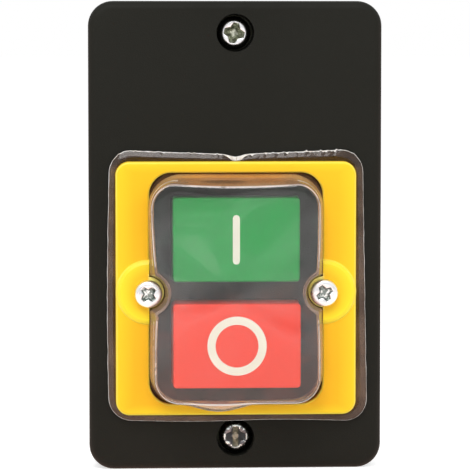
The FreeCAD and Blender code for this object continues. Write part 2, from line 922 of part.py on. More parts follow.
def terminal_bay(x, side):
    """Bay behind the shelf, the slot that its strip passes, and the relief for its screw."""
    z_inner = mech_z + side * bay_inner
    z_chamber = mech_z + side * (base_chamber_height / 2 - slide_gap)
    bay = block(
        x - bay_width / 2, x + bay_width / 2, strip_front, base_back + 1,
        z_inner, mech_z + side * body_height
    )
    slot = block(
        x - strip_width / 2 - slide_gap, x + strip_width / 2 + slide_gap,
        strip_front, strip_back + slide_gap, z_chamber, z_inner
    )
    relief = rod_y(
        terminal_screw_d + 2 * relief_gap, washer_back - terminal_screw_length - relief_gap,
        strip_front + 1, x, mech_z + side * terminal_offset
    )
    return bay.fuse([slot, relief])


def strip_support(x, z):
    """Pillar on the floor of the chamber, which backs a strip."""
    return block(
        x - strip_width / 2, x + strip_width / 2, strip_back, chamber_floor,
        z - strip_overrun, z + strip_overrun
    )


# Write every piece

os.makedirs("parts", exist_ok=True)
save("front_plate", make_front_plate())
save("mount_screws", make_mount_screws())
save("clear_cover", make_clear_cover())
save("clamp_frame", make_clamp_frame())
save("frame_screws", make_frame_screws())
save("screw_inserts", make_screw_inserts())
save_button("start", start_face, mech_z + cap_offset, bar_mark)
save_button("stop", stop_face, mech_z - cap_offset, ring_mark)
save("switch_body", make_switch_body())
save("switch_base", make_switch_base())
save("body_screws", make_body_screws())
save("rocker", make_rocker())
save("rocker_pin", make_rocker_pin())
save("terminal_screws", make_terminal_screws())
save("clamp_washers", make_clamp_washers())
for number, pole_x in enumerate(pole_places, 1):
    save(f"plunger_{number}", make_plunger(pole_x))
    save(f"contact_spring_{number}", make_contact_spring(pole_x))
    save(f"contact_blade_{number}", make_contact_blade(pole_x))
    save(f"moving_contact_{number}", make_moving_contact(pole_x))
    save(f"fixed_contact_{number}", make_fixed_contact(pole_x))
    save(f"line_terminal_{number}", make_line_terminal(pole_x))
    save(f"load_terminal_{number}", make_load_terminal(pole_x))
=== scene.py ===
import math

import bmesh
import bpy
from mathutils import Matrix, Vector
from mathutils.noise import noise as noise_at


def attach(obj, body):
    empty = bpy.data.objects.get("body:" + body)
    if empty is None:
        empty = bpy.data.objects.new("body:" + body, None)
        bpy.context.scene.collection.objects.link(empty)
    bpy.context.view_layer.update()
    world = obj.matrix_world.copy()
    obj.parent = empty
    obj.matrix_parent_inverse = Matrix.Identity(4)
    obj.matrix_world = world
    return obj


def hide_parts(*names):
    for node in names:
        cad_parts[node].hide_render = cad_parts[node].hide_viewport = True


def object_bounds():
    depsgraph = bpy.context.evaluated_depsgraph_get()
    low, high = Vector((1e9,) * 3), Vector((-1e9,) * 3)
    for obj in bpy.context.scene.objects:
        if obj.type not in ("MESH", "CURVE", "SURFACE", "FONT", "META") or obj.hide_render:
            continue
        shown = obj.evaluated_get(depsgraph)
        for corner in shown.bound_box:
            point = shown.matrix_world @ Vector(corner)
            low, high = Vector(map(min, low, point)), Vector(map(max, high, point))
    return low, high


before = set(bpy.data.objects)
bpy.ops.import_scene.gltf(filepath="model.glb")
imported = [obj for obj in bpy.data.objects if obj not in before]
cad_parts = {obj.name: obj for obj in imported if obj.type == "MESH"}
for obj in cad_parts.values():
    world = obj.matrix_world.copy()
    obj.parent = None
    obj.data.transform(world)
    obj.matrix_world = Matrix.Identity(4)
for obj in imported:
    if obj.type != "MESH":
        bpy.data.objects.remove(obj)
cad_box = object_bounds()
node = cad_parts

# The view: the switch stands upright on a pale floor and is seen from the front, from a little
# above and a little to its left, with a long lens from about 640 mm away.
MM = 0.001
view_turn = math.radians(-2.888)
view_rise = math.radians(4.181)
view_distance = 637.4 * MM
view_target = Vector((-0.096, -10.0, 0.275)) * MM
back = Vector((
    math.sin(view_turn) * math.cos(view_rise),
    -math.cos(view_turn) * math.cos(view_rise),
    math.sin(view_rise),
))
camera_data = bpy.data.cameras.new("camera")
camera_data.sensor_width = 36.0
camera_data.lens = 220.25
camera_data.clip_start = 0.01
camera_data.clip_end = 20.0
camera = bpy.data.objects.new("camera", camera_data)
bpy.context.scene.collection.objects.link(camera)
camera.location = view_target + back * view_distance
camera.rotation_euler = back.to_track_quat("Z", "Y").to_euler()
bpy.context.scene.camera = camera
bpy.context.scene.view_settings.view_transform = "Standard"


# The studio: a soft box above in front, a weaker one by the camera, and a pale surround. The
# surround shows pure white behind the switch, and in gloss it is bright above and dim below.
def lamp(name, place, size, power, glint=False):
    """Square soft box that faces the switch. Gloss shows it where it may glint."""
    light = bpy.data.lights.new(name, "AREA")
    light.shape = "SQUARE"
    light.size = size
    light.energy = power
    item = bpy.data.objects.new(name, light)
    item.location = place
    item.rotation_euler = (item.location - view_target).to_track_quat("Z", "Y").to_euler()
    item.visible_glossy = glint
    bpy.context.scene.collection.objects.link(item)


lamp("lamp_above", (-0.10, -0.42, 0.42), 0.35, 1.9, glint=True)
lamp("lamp_front", (0.42, -0.72, 0.22), 0.45, 1.15)
lamp("lamp_left", (-0.8, -0.35, 0.15), 0.5, 0.96)
lamp("lamp_right", (0.8, -0.3, 0.2), 0.5, 0.7)
lamp("lamp_behind", (0.3, 0.7, 0.5), 0.6, 2.0)


def calculated(tree, operation, *terms):
    """Result of a Math node. Each term is a socket or a number."""
    result = tree.nodes.new("ShaderNodeMath")
    result.operation = operation
    for slot, term in zip(result.inputs, terms):
        if isinstance(term, (int, float)):
            slot.default_value = term
        else:
            tree.links.new(term, slot)
    return result.outputs[0]


def spread(tree, value, low, high, to_low, to_high):
    """The value, stretched from low and high to to_low and to_high, and held between them."""
    ramp = tree.nodes.new("ShaderNodeMapRange")
    for socket, number in zip(("From Min", "From Max", "To Min", "To Max"),
                              (low, high, to_low, to_high)):
        ramp.inputs[socket].default_value = number
    tree.links.new(value, ramp.inputs["Value"])
    return ramp.outputs["Result"]


def seen_straight(tree, rays):
    """1 for rays that come from the camera, straight or through something clear."""
    return calculated(
        tree, "MAXIMUM", rays.outputs["Is Camera Ray"], rays.outputs["Is Transmission Ray"]
    )


surround = bpy.data.worlds.new("surround")
surround.use_nodes = True
bpy.context.scene.world = surround
tree = surround.node_tree
tree.nodes.clear()
rays = tree.nodes.new("ShaderNodeLightPath")
way = tree.nodes.new("ShaderNodeTexCoord")
parts = tree.nodes.new("ShaderNodeSeparateXYZ")
tree.links.new(way.outputs["Generated"], parts.inputs[0])
height = spread(tree, parts.outputs["Z"], -0.35, 0.2, 0.15, 1.0)
cloud = tree.nodes.new("ShaderNodeTexNoise")
cloud.inputs["Scale"].default_value = 9.0
cloud.inputs["Detail"].default_value = 2.0
cloud_place = tree.nodes.new("ShaderNodeMapping")
cloud_place.inputs["Location"].default_value = (0.35, 0.0, 0.2)
tree.links.new(way.outputs["Generated"], cloud_place.inputs["Vector"])
tree.links.new(cloud_place.outputs[0], cloud.inputs["Vector"])
patches = calculated(tree, "MAXIMUM", spread(tree, cloud.outputs["Fac"], 0.36, 0.62, 0.65, 1.0),
                     spread(tree, parts.outputs["Y"], -0.96, -0.8, 0.0, 1.0))
in_front = calculated(tree, "MULTIPLY", height, patches)
behind = spread(tree, parts.outputs["Y"], -0.3, 0.1, 0.0, 0.8)
in_gloss = calculated(tree, "MAXIMUM", in_front, behind)
strength = calculated(tree, "MAXIMUM", in_gloss, rays.outputs["Is Camera Ray"])
shown = calculated(tree, "MAXIMUM", seen_straight(tree, rays), rays.outputs["Is Glossy Ray"])
soft = tree.nodes.new("ShaderNodeBackground")
soft.inputs["Color"].default_value = (1, 1, 1, 1)
soft.inputs["Strength"].default_value = 0.55
white = tree.nodes.new("ShaderNodeBackground")
tree.links.new(strength, white.inputs["Strength"])
white.inputs["Color"].default_value = (1, 1, 1, 1)
choose = tree.nodes.new("ShaderNodeMixShader")
tree.links.new(shown, choose.inputs[0])
tree.links.new(soft.outputs[0], choose.inputs[1])
tree.links.new(white.outputs[0], choose.inputs[2])
world_out = tree.nodes.new("ShaderNodeOutputWorld")
tree.links.new(choose.outputs[0], world_out.inputs["Surface"])


# The floor: one pale matt sheet under the switch. It looks white where nothing shades it, and
# the shadow under the switch stays on it. In gloss it is dappled, and warm close in front.
def finish_mesh(name, bm, scale=1.0):
    """The bmesh, scaled to metres, as a new object that lies in the object's own frame."""
    bmesh.ops.scale(bm, vec=(scale, scale, scale), verts=bm.verts)
    mesh = bpy.data.meshes.new(name)
    bm.to_mesh(mesh)
    bm.free()
    item = bpy.data.objects.new(name, mesh)
    bpy.context.scene.collection.objects.link(item)
    return item


def noise(tree, scale, detail=2.0, rough=0.5, stretch=(1, 1, 1)):
    """Noise on Object coordinates, with scale in cycles per metre."""
    place = tree.nodes.new("ShaderNodeTexCoord")
    fit = tree.nodes.new("ShaderNodeMapping")
    fit.inputs["Scale"].default_value = stretch
    tree.links.new(place.outputs["Object"], fit.inputs["Vector"])
    pattern = tree.nodes.new("ShaderNodeTexNoise")
    pattern.inputs["Scale"].default_value = scale
    pattern.inputs["Detail"].default_value = detail
    pattern.inputs["Roughness"].default_value = rough
    tree.links.new(fit.outputs[0], pattern.inputs["Vector"])
    return pattern.outputs["Fac"]


def object_axes(tree):
    """Object coordinates in metres, as the sockets X, Y and Z."""
    place = tree.nodes.new("ShaderNodeTexCoord")
    parts = tree.nodes.new("ShaderNodeSeparateXYZ")
    tree.links.new(place.outputs["Object"], parts.inputs[0])
    return parts.outputs


def beyond(tree, value, low, high, most=1.0):
    """0 up to low, and the most from high on. Low and high are in millimetres."""
    return spread(tree, value, low * MM, high * MM, 0.0, most)


def blend_colours(tree, value, first, second):
    """First colour where the value is 0, second where it is 1."""
    mix = tree.nodes.new("ShaderNodeMix")
    mix.data_type = "RGBA"
    mix.inputs["A"].default_value = (*first, 1)
    mix.inputs["B"].default_value = (*second, 1)
    tree.links.new(value, mix.inputs["Factor"])
    return mix.outputs["Result"]


floor_half = 8.0
bm = bmesh.new()
bmesh.ops.create_grid(bm, x_segments=1, y_segments=1, size=floor_half)
bmesh.ops.translate(bm, verts=bm.verts, vec=(0, 0, cad_box[0][2]))
floor = finish_mesh("floor", bm)
paper = bpy.data.materials.new("pale_paper")
paper.use_nodes = True
tree = paper.node_tree
tree.nodes.clear()
matt = tree.nodes.new("ShaderNodeBsdfDiffuse")
matt.inputs["Color"].default_value = (0.78, 0.78, 0.78, 1)
lift = tree.nodes.new("ShaderNodeEmission")
rays = tree.nodes.new("ShaderNodeLightPath")
near = beyond(tree, object_axes(tree)["Y"], -500.0, -180.0)
dappled = spread(tree, noise(tree, 11.0, 3.0), 0.42, 0.6, 0.0, 0.8)
in_gloss = calculated(tree, "MULTIPLY", rays.outputs["Is Glossy Ray"],
                      calculated(tree, "ADD", dappled, calculated(tree, "MULTIPLY", near, 0.5)))
in_view = calculated(tree, "MULTIPLY", seen_straight(tree, rays), 0.6)
tree.links.new(calculated(tree, "MAXIMUM", in_view, in_gloss), lift.inputs["Strength"])
warmth = calculated(tree, "MULTIPLY", near, rays.outputs["Is Glossy Ray"])
tree.links.new(blend_colours(tree, warmth, (1, 1, 1), (1.0, 0.58, 0.46)), lift.inputs["Color"])
both = tree.nodes.new("ShaderNodeAddShader")
tree.links.new(matt.outputs[0], both.inputs[0])
tree.links.new(lift.outputs[0], both.inputs[1])
out = tree.nodes.new("ShaderNodeOutputMaterial")
tree.links.new(both.outputs[0], out.inputs["Surface"])
floor.data.materials.append(paper)


# Front plate: a matt black moulding with a fine spark-eroded grain all over, whose tone drifts a
# little. Around the caps it carries painted red and green light bounced from them, and its
# counterbores are painted lighter than their shade. A screw in the counterbore at each end fixes
# it to a panel.
def new_material(name, colour, **sockets):
    """Principled material with its uniform values set on the shader's own sockets."""
    material = bpy.data.materials.new(name)
    material.use_nodes = True
    shader = material.node_tree.nodes["Principled BSDF"]
    shader.inputs["Base Color"].default_value = (*colour, 1)
    for socket, value in sockets.items():
        shader.inputs[socket.replace("_", " ")].default_value = value
    return material, material.node_tree, shader


def bump(tree, shader, value, depth, strength=1.0):
    """Bump of that depth in metres."""
    relief = tree.nodes.new("ShaderNodeBump")
    relief.inputs["Strength"].default_value = strength
    relief.inputs["Distance"].default_value = depth
    tree.links.new(value, relief.inputs["Height"])
    tree.links.new(relief.outputs[0], shader.inputs["Normal"])


def moulded(name, dark, light, gloss, rough, grain_scale, grain_depth, drift=25.0):
    """Moulded plastic: a slow drift of tone and of gloss, and a fine grain."""
    material, tree, shader = new_material(name, dark)
    shader.inputs["Specular IOR Level"].default_value = gloss
    tone = spread(tree, noise(tree, drift, 3.0), 0.3, 0.7, 0.0, 1.0)
    tree.links.new(blend_colours(tree, tone, dark, light), shader.inputs["Base Color"])
    shine = spread(tree, noise(tree, drift * 4, 3.0), 0.3, 0.7, rough - 0.05, rough + 0.05)
    tree.links.new(shine, shader.inputs["Roughness"])
    bump(tree, shader, noise(tree, grain_scale, 2.0), grain_depth)
    return material


def opened(material):
    """The material's node tree and its shader."""
    return material.node_tree, material.node_tree.nodes["Principled BSDF"]


def dress(material, *names):
    """The CAD nodes take the material in all their slots."""
    for name in names:
        for slot in node[name].material_slots:
            slot.material = material


def within(tree, value, low, high, most=1.0):
    """The most up to low, and 0 from high on. Low and high are in millimetres."""
    return spread(tree, value, low * MM, high * MM, most, 0.0)


def off(tree, value, middle):
    """How far the value in metres is from a middle in millimetres, on either side."""
    return calculated(tree, "ABSOLUTE", calculated(tree, "SUBTRACT", value, middle * MM))


def distance_to(tree, x, z, mirror):
    """Distance in metres from a line along Y at x and z in millimetres, and from its mirror
    image."""
    axes = object_axes(tree)
    sides = {"X": axes["X"], "Z": axes["Z"]}
    sides[mirror] = calculated(tree, "ABSOLUTE", sides[mirror])
    squares = [
        calculated(tree, "POWER", calculated(tree, "SUBTRACT", sides[side], at * MM), 2.0)
        for side, at in (("X", x), ("Z", z))
    ]
    return calculated(tree, "SQRT", calculated(tree, "ADD", *squares))


def tinted(tree, shader, value, colour):
    """The shader's base colour, mixed by the value with another colour or colour socket."""
    mix = tree.nodes.new("ShaderNodeMix")
    mix.data_type = "RGBA"
    tree.links.new(value, mix.inputs["Factor"])
    tree.links.new(shader.inputs["Base Color"].links[0].from_socket, mix.inputs["A"])
    if isinstance(colour, tuple):
        mix.inputs["B"].default_value = (*colour, 1)
    else:
        tree.links.new(colour, mix.inputs["B"])
    tree.links.new(mix.outputs["Result"], shader.inputs["Base Color"])


switch_z = -12.1
mount_z = 45.0
plate_black = moulded("matt_black", (0.0072, 0.0072, 0.0048), (0.0105, 0.0105, 0.0076),
                      0.15, 0.6, 2800.0, 0.00006)
tree, shader = opened(plate_black)
# Painted light: the counterbores are lighter than their shade would leave them.
painted_bore_light = within(tree, distance_to(tree, 0.0, mount_z, "Z"), 3.8, 4.0)
tinted(tree, shader, painted_bore_light, (0.17, 0.17, 0.12))
axes = object_axes(tree)
# Painted light: around the caps the black takes a mottled red and green, as light bounced from the
# red and green caps.
near_caps = calculated(tree, "MULTIPLY", within(tree, off(tree, axes["X"], 0.0), 18.5, 18.8),
                       within(tree, off(tree, axes["Z"], switch_z), 25.2, 25.5))
painted_cap_bounce = calculated(tree, "MULTIPLY", near_caps,
                    spread(tree, noise(tree, 260.0, 3.0), 0.4, 0.65, 0.0, 1.0))
red_cap_bounce, green_cap_bounce = (0.09, 0.03, 0.022), (0.015, 0.03, 0.02)
tinted(tree, shader, painted_cap_bounce, blend_colours(tree, beyond(tree, axes["Z"], -16.0, -10.0),
                                           red_cap_bounce, green_cap_bounce))
dress(plate_black, "front_plate")

# Switch body: the case behind the plate, moulded in a dark satin plastic. It carries the rocker
# on its pin, and the two frame screws pull it against the plate.
body_black = moulded("body_black", (0.012, 0.012, 0.013), (0.018, 0.018, 0.019),
                     0.3, 0.5, 2200.0, 0.00005)
dress(body_black, "switch_body")

# Switch base: a hard thermoset moulding with the terminal bays, a little paler and smoother
# than the body. Four small screws hold it to the body.
base_black = moulded("base_black", (0.03, 0.03, 0.032), (0.045, 0.045, 0.046),
                     0.4, 0.42, 1500.0, 0.00003)
dress(base_black, "switch_base")

# Rocker and plungers: satin mouldings in grey nylon. The rocker turns on its pin, and a plunger
# slides in each of its three posts, one for each pole.
def three(name):
    """Names of the like pieces of the three poles."""
    return [f"{name}_{pole}" for pole in (1, 2, 3)]


nylon_grey = moulded("nylon_grey", (0.40, 0.40, 0.38), (0.48, 0.48, 0.46),
                     0.4, 0.45, 900.0, 0.00002)
dress(nylon_grey, "rocker", *three("plunger"))


# Terminal strips, contact blades and screw inserts: brass with fine lines from rolling and a
# dull tarnish. The strips and blades are stamped and bent, and the inserts sit in the body.
def metal(name, bright, dull, rough, grain, stretch):
    """Metal with a slow change of tone and fine drawn lines along one way."""
    material, tree, shader = new_material(name, bright, Metallic=1.0)
    tone = spread(tree, noise(tree, 120.0, 4.0), 0.35, 0.7, 0.0, 1.0)
    tree.links.new(blend_colours(tree, tone, bright, dull), shader.inputs["Base Color"])
    lines = noise(tree, grain, 3.0, 0.6, stretch)
    tree.links.new(spread(tree, lines, 0.3, 0.7, rough - 0.08, rough + 0.1),
                   shader.inputs["Roughness"])
    bump(tree, shader, lines, 0.00002, 0.6)
    return material


brass = metal("rolled_brass", (0.80, 0.56, 0.24), (0.62, 0.42, 0.18), 0.3, 900.0, (1, 1, 0.15))
dress(brass, "screw_inserts", *three("contact_blade"), *three("line_terminal"),
      *three("load_terminal"))

# Contacts: silver tips riveted to the blades and to the load terminals, bright and slightly
# yellowed.
silver = metal("contact_silver", (0.88, 0.87, 0.84), (0.70, 0.67, 0.60), 0.22, 1200.0, (1, 1, 1))
dress(silver, *three("moving_contact"), *three("fixed_contact"))

# Springs and rocker pin: the springs are wound from drawn steel wire and push on the plungers.
# The pin is ground steel and sits in the body.
wire = metal("spring_wire", (0.45, 0.45, 0.46), (0.30, 0.30, 0.31), 0.28, 1500.0, (1, 1, 1))
dress(wire, *three("contact_spring"))
ground = metal("ground_steel", (0.58, 0.58, 0.58), (0.45, 0.45, 0.46), 0.2, 1500.0, (0.1, 1, 1))
dress(ground, "rocker_pin")

# Screws and clamp washers: cold-formed steel, zinc-plated. The body screws hold the base, and
# the terminal screws press the washers on the wires.
zinc = metal("bright_zinc", (0.93, 0.93, 0.93), (0.82, 0.83, 0.85), 0.3, 700.0, (1, 1, 1))
dress(zinc, "mount_screws", "frame_screws", "body_screws", "terminal_screws", "clamp_washers")

# Button caps: satin mouldings in green and red that slide in the body on their stems. Each has a
# cream mark inlaid in its face, a bar or a ring.
cap_green = moulded("cap_green", (0.001, 0.34, 0.053), (0.003, 0.385, 0.07),
                    0.2, 0.4, 900.0, 0.00002)
dress(cap_green, "start_cap")
cap_red = moulded("cap_red", (0.97, 0.041, 0.013), (0.99, 0.052, 0.018),
                  0.2, 0.4, 900.0, 0.00002)
dress(cap_red, "stop_cap")
cream = moulded("inlay_cream", (0.93, 0.97, 0.84), (0.96, 1.0, 0.90), 0.3, 0.4, 900.0, 0.00002)
dress(cream, "start_symbol", "stop_symbol")

# Clear cover: one soft clear sheet, pressed to a dome over the caps and trimmed by hand, so its
# edge waves and shows burrs. The flange lies under the yellow frame, and the dome is pinched in
# beside the ears. Its cut edge is white, partly from real frosting and partly as a painted
# highlight. The vinyl's colours also carry painted light: the yellow frame seen through and
# reflected in the wall, painted shade on the wall's top and on the flange's top, a painted
# highlight on the ridge and painted light on the fold.
cover_z = -11.4
ear_x = 19.4
ear_hole_radius = 1.7
flange_back = -10.0
flange_front = -11.0
flange_half = (28.5, 29.8)
flange_corner = 5.0
under_frame_half = (26.0, 27.4)
under_frame_corner = 3.0
dome_front = -18.6
front_round = 0.75
front_pinch, wall_pinch = 0.55, 0.5
sheet = 0.6
foot_half = (19.05, 25.5)
tip_half = (18.35, 24.3)
tip_z = -12.15
band_start, fold_start = 20.0, 24.0
notch_steps, side_steps, corner_steps, top_steps, bottom_steps = 14, 18, 12, 120, 60


def smaller(first, second, blend):
    """The smaller of two numbers, with a rounded change from one to the other."""
    near = max(blend - abs(first - second), 0.0) / blend
    return min(first, second) - near * near * blend * 0.25


def cover_outline(half_x, half_z, middle_z, corner, notch=0.0, pinch=0.0):
    """Points of one ring of the cover, from the right ear anticlockwise. The notch is the radius
    of the round recess beside each ear, and the pinch narrows the ring there."""
    notch_end, plain_radius = math.radians(76.0), 4.2
    pinch_reach, notch_blend = 7.5, 0.9

    def side_x(z):
        x = half_x - pinch * math.exp(-((z - switch_z) / pinch_reach) ** 2)
        rise = abs(z - switch_z)
        if notch and rise < notch:
            x = smaller(x, ear_x - math.sqrt(notch * notch - rise * rise), notch_blend)
        return x

    def side(way, end):
        heights = [
            switch_z + way * (notch or plain_radius) * math.sin(notch_end * i / notch_steps)
            for i in range(notch_steps + 1)
        ]
        start = heights[-1]
        heights += [
            start + (end - start) * (i / side_steps) ** 1.3 for i in range(1, side_steps + 1)
        ]
        return [(side_x(z), z) for z in heights]

    def edge(steps):
        straight = half_x - corner
        return [straight - 2 * straight * i / steps for i in range(1, steps)]

    upper = side(1, middle_z + half_z - corner)
    lower = side(-1, middle_z - half_z + corner)
    turns = [math.pi / 2 * i / corner_steps for i in range(1, corner_steps + 1)]
    arc = [
        (half_x - corner + corner * math.cos(t), half_z - corner + corner * math.sin(t))
        for t in turns
    ]
    points = list(upper)
    points += [(x, middle_z + z) for x, z in arc]
    points += [(x, middle_z + half_z) for x in edge(top_steps)]
    points += [(-x, middle_z + z) for x, z in reversed(arc)]
    points += [(-x, z) for x, z in reversed(upper)]
    points += [(-x, z) for x, z in lower[1:]]
    points += [(-x, middle_z - z) for x, z in arc]
    points += [(-x, middle_z - half_z) for x in edge(bottom_steps)]
    points += [(x, middle_z - z) for x, z in reversed(arc)]
    points += [(x, z) for x, z in reversed(lower[1:])]
    return points


def flange_outline(inset, corner):
    """Ring of the flat flange, set in from its edge by the inset."""
    return cover_outline(flange_half[0] - inset, flange_half[1] - inset, cover_z, corner)


def trimmed(points, share):
    """A ring near the flange's edge, drawn by the share to the line it was trimmed along: wider
    low down, sagging at the top with a dip in its middle and burrs, and a little wavy below."""
    sag, sag_half, dip, dip_half = 1.35, 25.0, 0.55, 1.8
    burr, small_burr, wave, side_wave = 0.55, 0.22, 0.18, 0.12
    cut = []
    for x, z in points:
        rise = (z - cover_z) / flange_half[1]
        x += share * (0.27 - 0.58 * rise if x > 0 else 0.05 + 0.45 * (rise + 0.15) ** 2)
        if z > cover_z + band_start:
            if abs(x) < under_frame_half[0]:
                z -= share * sag * max(0.0, 1 - abs(x) / sag_half) ** 0.8
                z -= share * dip * math.exp(-(x / dip_half) ** 2)
            z += share * (
                0.5 + 0.35 * x / under_frame_half[0]
                + 0.67 * min(1.0, max(0.0, 1 - x / sag_half)) ** 0.7
            )
            rough = noise_at(Vector((x * 3.1, z * 3.1, 0.0)))
            z += share * max(0.0, rough) * (burr if 4 < x < 27 else small_burr)
        elif z < cover_z - band_start:
            z += share * (0.15 + wave * math.sin(x / 6.0))
        else:
            x += share * side_wave * noise_at(Vector((0.0, x, z * 0.35)))
        cut.append((x, z))
    return cut


def dome_outline(depth, inset, pinch=0.0):
    """Ring of the dome at a depth from 0 at its foot to 1 at its front, set in by the inset.
    The soft sheet leans to the left, sags at its top edge and has a fold in its lower wall."""
    sag, sag_half, fold_x, fold_half = 0.7, 15.0, -3.9, 9.7
    fold = 1.6 * math.sin(math.pi * min(1.0, (1.0 - depth) / 0.6))
    slope = depth ** 1.4
    points = []
    for x, z in cover_outline(
        foot_half[0] + (tip_half[0] - foot_half[0]) * slope - inset,
        foot_half[1] + (tip_half[1] - foot_half[1]) * slope - inset,
        cover_z + (tip_z - cover_z) * slope,
        7.2 - 1.7 * slope - inset, 3.72 + 0.63 * depth + inset, pinch
    ):
        if x < 0:
            x -= depth * (0.6 * min(1.0, max(0.0, (z + 9) / 14)) - 0.2 * (z < switch_z - 5))
        if z > cover_z + band_start:
            z -= sag * depth * depth * max(0.0, 1 - (x / sag_half) ** 2)
        elif z < cover_z - band_start:
            z -= fold * math.cos(math.pi / 2 * min(1.0, abs(x - fold_x) / fold_half)) ** 2
        points.append((x, z))
    return points


def scaled_in(points, share):
    """The ring drawn in towards the middle of the dome's front."""
    return [(x * share, tip_z + (z - tip_z) * share) for x, z in points]


rings = []
finishes = []
FRONT, WALL, FLANGE, EDGE, RIDGE, FOLD = range(6)


def ring(points, y, wave, finish):
    """The next ring of the cover, at y and a little wavy. The finish is that of the strip to it."""
    rings.append([
        Vector((x, y + wave * noise_at(Vector((x / 11.0, z / 9.0, 3.7))), z)) for x, z in points
    ])
    finishes.append(finish)


def edge_ring(inset, y, burr, finish):
    """Ring of the trimmed edge. Its frosted bevel, whose white is partly a painted highlight, is
    uneven and wide in the dip at the top, and the burr is the share of that bevel in this ring."""
    bevel = 1.0
    outer = trimmed(flange_outline(inset, flange_corner - inset), 1.0)
    inner = trimmed(flange_outline(bevel, flange_corner - bevel), 1.0)
    points = []
    for (x, z), (x_in, z_in) in zip(outer, inner):
        uneven = noise_at(Vector((x * 0.9, 4.0, z * 0.9)))
        share = 0.11 + 0.05 * uneven
        if z > cover_z + band_start:
            torn = min(1.0, max(0.0, (27.0 - abs(x)) / 4))
            burrs = max(0.0, noise_at(Vector((x * 2.6, 9.0, z * 2.6))))
            share += torn * (0.02 + (0.6 if x > 3 else 0.25) * burrs)
            share += 1.1 * math.exp(-((x - 0.2) / 1.7) ** 2)
        share = burr * min(max(share, 0.06), 1.0)
        points.append((x + (x_in - x) * share, z + (z_in - z) * share))
    ring(points, y, 0.0, finish)


def front_rings(y, shares):
    """Rings of the dome's flat front, which is wavy away from its rounded edge."""
    for share in shares:
        edge = dome_outline(1.0, front_round, front_pinch)
        ring(scaled_in(edge, share), y, min(0.3, 1.05 - share), FRONT)


def bend_rings(radius, finish, turns):
    """Rings of the rounded edge between the dome's wall and its front."""
    for turn in turns:
        angle = math.radians(turn)
        inset = front_round - radius * math.sin(angle)
        ring(
            dome_outline(1.0 - 0.09 * turn / 90, inset, front_pinch),
            dome_front + front_round - radius * math.cos(angle), 0.05, finish
        )


front_shares = (0.05, 0.3, 0.55, 0.75, 0.88, 0.95)
ridge_depth = 0.7
wall_steps = (
    (0.78, -17.0, 0.0), (ridge_depth, -16.4, -0.02), (0.58, -15.6, -0.08), (0.46, -14.7, -0.2),
    (0.39, -14.1, -0.3), (0.34, -13.8, -0.3), (0.30, -13.5, -0.18), (0.26, -13.25, 0.0),
    (0.2, -12.8, 0.0), (0.08, -11.9, 0.0)
)
front_rings(dome_front, front_shares)
bend_rings(front_round, FRONT, (0, 15, 30))
bend_rings(front_round, RIDGE, (42, 55))
bend_rings(front_round, WALL, (72, 90))
for depth, y, inset in wall_steps:
    finish = RIDGE if depth == ridge_depth else WALL
    ring(dome_outline(depth, inset, wall_pinch * depth), y, 0.0, finish)
for inset, y in ((-0.05, -11.45), (-0.25, -11.12), (-0.6, flange_front)):
    ring(dome_outline(0.0, inset), y, 0.0, WALL)
under_frame = cover_outline(*under_frame_half, cover_z, under_frame_corner)
ring(under_frame, flange_front, 0.0, FLANGE)
for inset, y in ((1.35, flange_front), (1.2, flange_front - 0.12), (1.05, flange_front)):
    ring(trimmed(flange_outline(inset, flange_corner - inset / 2), 0.8), y, 0.0, FLANGE)
edge_ring(0.0, flange_front, 1.0, FLANGE)
for inset, y, burr in (
    (0.0, -10.9, 0.35), (0.0, -10.65, 0.0), (0.0, -10.3, 0.0), (0.12, -10.06, 0.0)
):
    edge_ring(inset, y, burr, EDGE)
ring(trimmed(flange_outline(0.5, 4.6), 0.9), flange_back, 0.0, FLANGE)
ring(under_frame, flange_back, 0.0, FLANGE)
ring(dome_outline(0.0, sheet - 0.4), flange_back, 0.0, FLANGE)
ring(dome_outline(0.0, sheet - 0.1), flange_back - 0.3, 0.0, WALL)
for depth, y, inset in reversed(wall_steps):
    ring(dome_outline(depth, sheet, wall_pinch * depth), y, 0.0, WALL)
bend_rings(front_round - sheet, WALL, (90,))
bend_rings(front_round - sheet, FRONT, (60, 30, 0))
front_rings(dome_front + sheet, reversed(front_shares))

# The sheet grows ring by ring, from the middle of its front outside to the same place inside.
bm = bmesh.new()
count = len(rings[0])
first = bmesh.ops.create_circle(bm, segments=count, radius=1.0)["verts"]
for vert, place in zip(first, rings[0]):
    vert.co = place
loop = list(first)
bmesh.ops.contextual_create(bm, geom=loop)
for places, finish in zip(rings[1:], finishes[1:]):
    rim = [bm.edges.get((loop[i], loop[i - 1])) for i in range(count)]
    grown = bmesh.ops.extrude_edge_only(bm, edges=rim)["geom"]
    fresh = {v for v in grown if isinstance(v, bmesh.types.BMVert)}
    loop = [next(e.other_vert(v) for e in v.link_edges if e.other_vert(v) in fresh) for v in loop]
    for vert, place in zip(loop, places):
        vert.co = place
    for part in grown:
        if isinstance(part, bmesh.types.BMFace):
            part.material_index = finish
bmesh.ops.contextual_create(bm, geom=loop)
bmesh.ops.recalc_face_normals(bm, faces=bm.faces)
bmesh.ops.triangulate(bm, faces=[f for f in bm.faces if len(f.verts) > 4])
for face in bm.faces:
    face.smooth = True
    middle = face.calc_center_median()
    if face.material_index == WALL and middle.z < cover_z - fold_start:
        face.material_index = FOLD
    beside_ear = abs(middle.z - switch_z) < 6 and abs(middle.x) > 14
    at_crown = middle.z > cover_z + band_start and abs(middle.x) < 13 and middle.y > -17.2
    if face.material_index == RIDGE and (beside_ear or at_crown):
        face.material_index = WALL
cover = finish_mesh("cover", bm, MM)


def cut_away(item, cutter, materials="INDEX", overlapping=False):
    """The cutter's shape is taken out of the piece, and the cutter is deleted."""
    step = item.modifiers.new("cut", "BOOLEAN")
    step.operation = "DIFFERENCE"
    step.solver = "EXACT"
    step.object = cutter
    step.material_mode = materials
    step.use_self = overlapping
    depsgraph = bpy.context.evaluated_depsgraph_get()
    mesh = bpy.data.meshes.new_from_object(item.evaluated_get(depsgraph))
    item.modifiers.clear()
    item.data = mesh
    bpy.data.objects.remove(cutter)


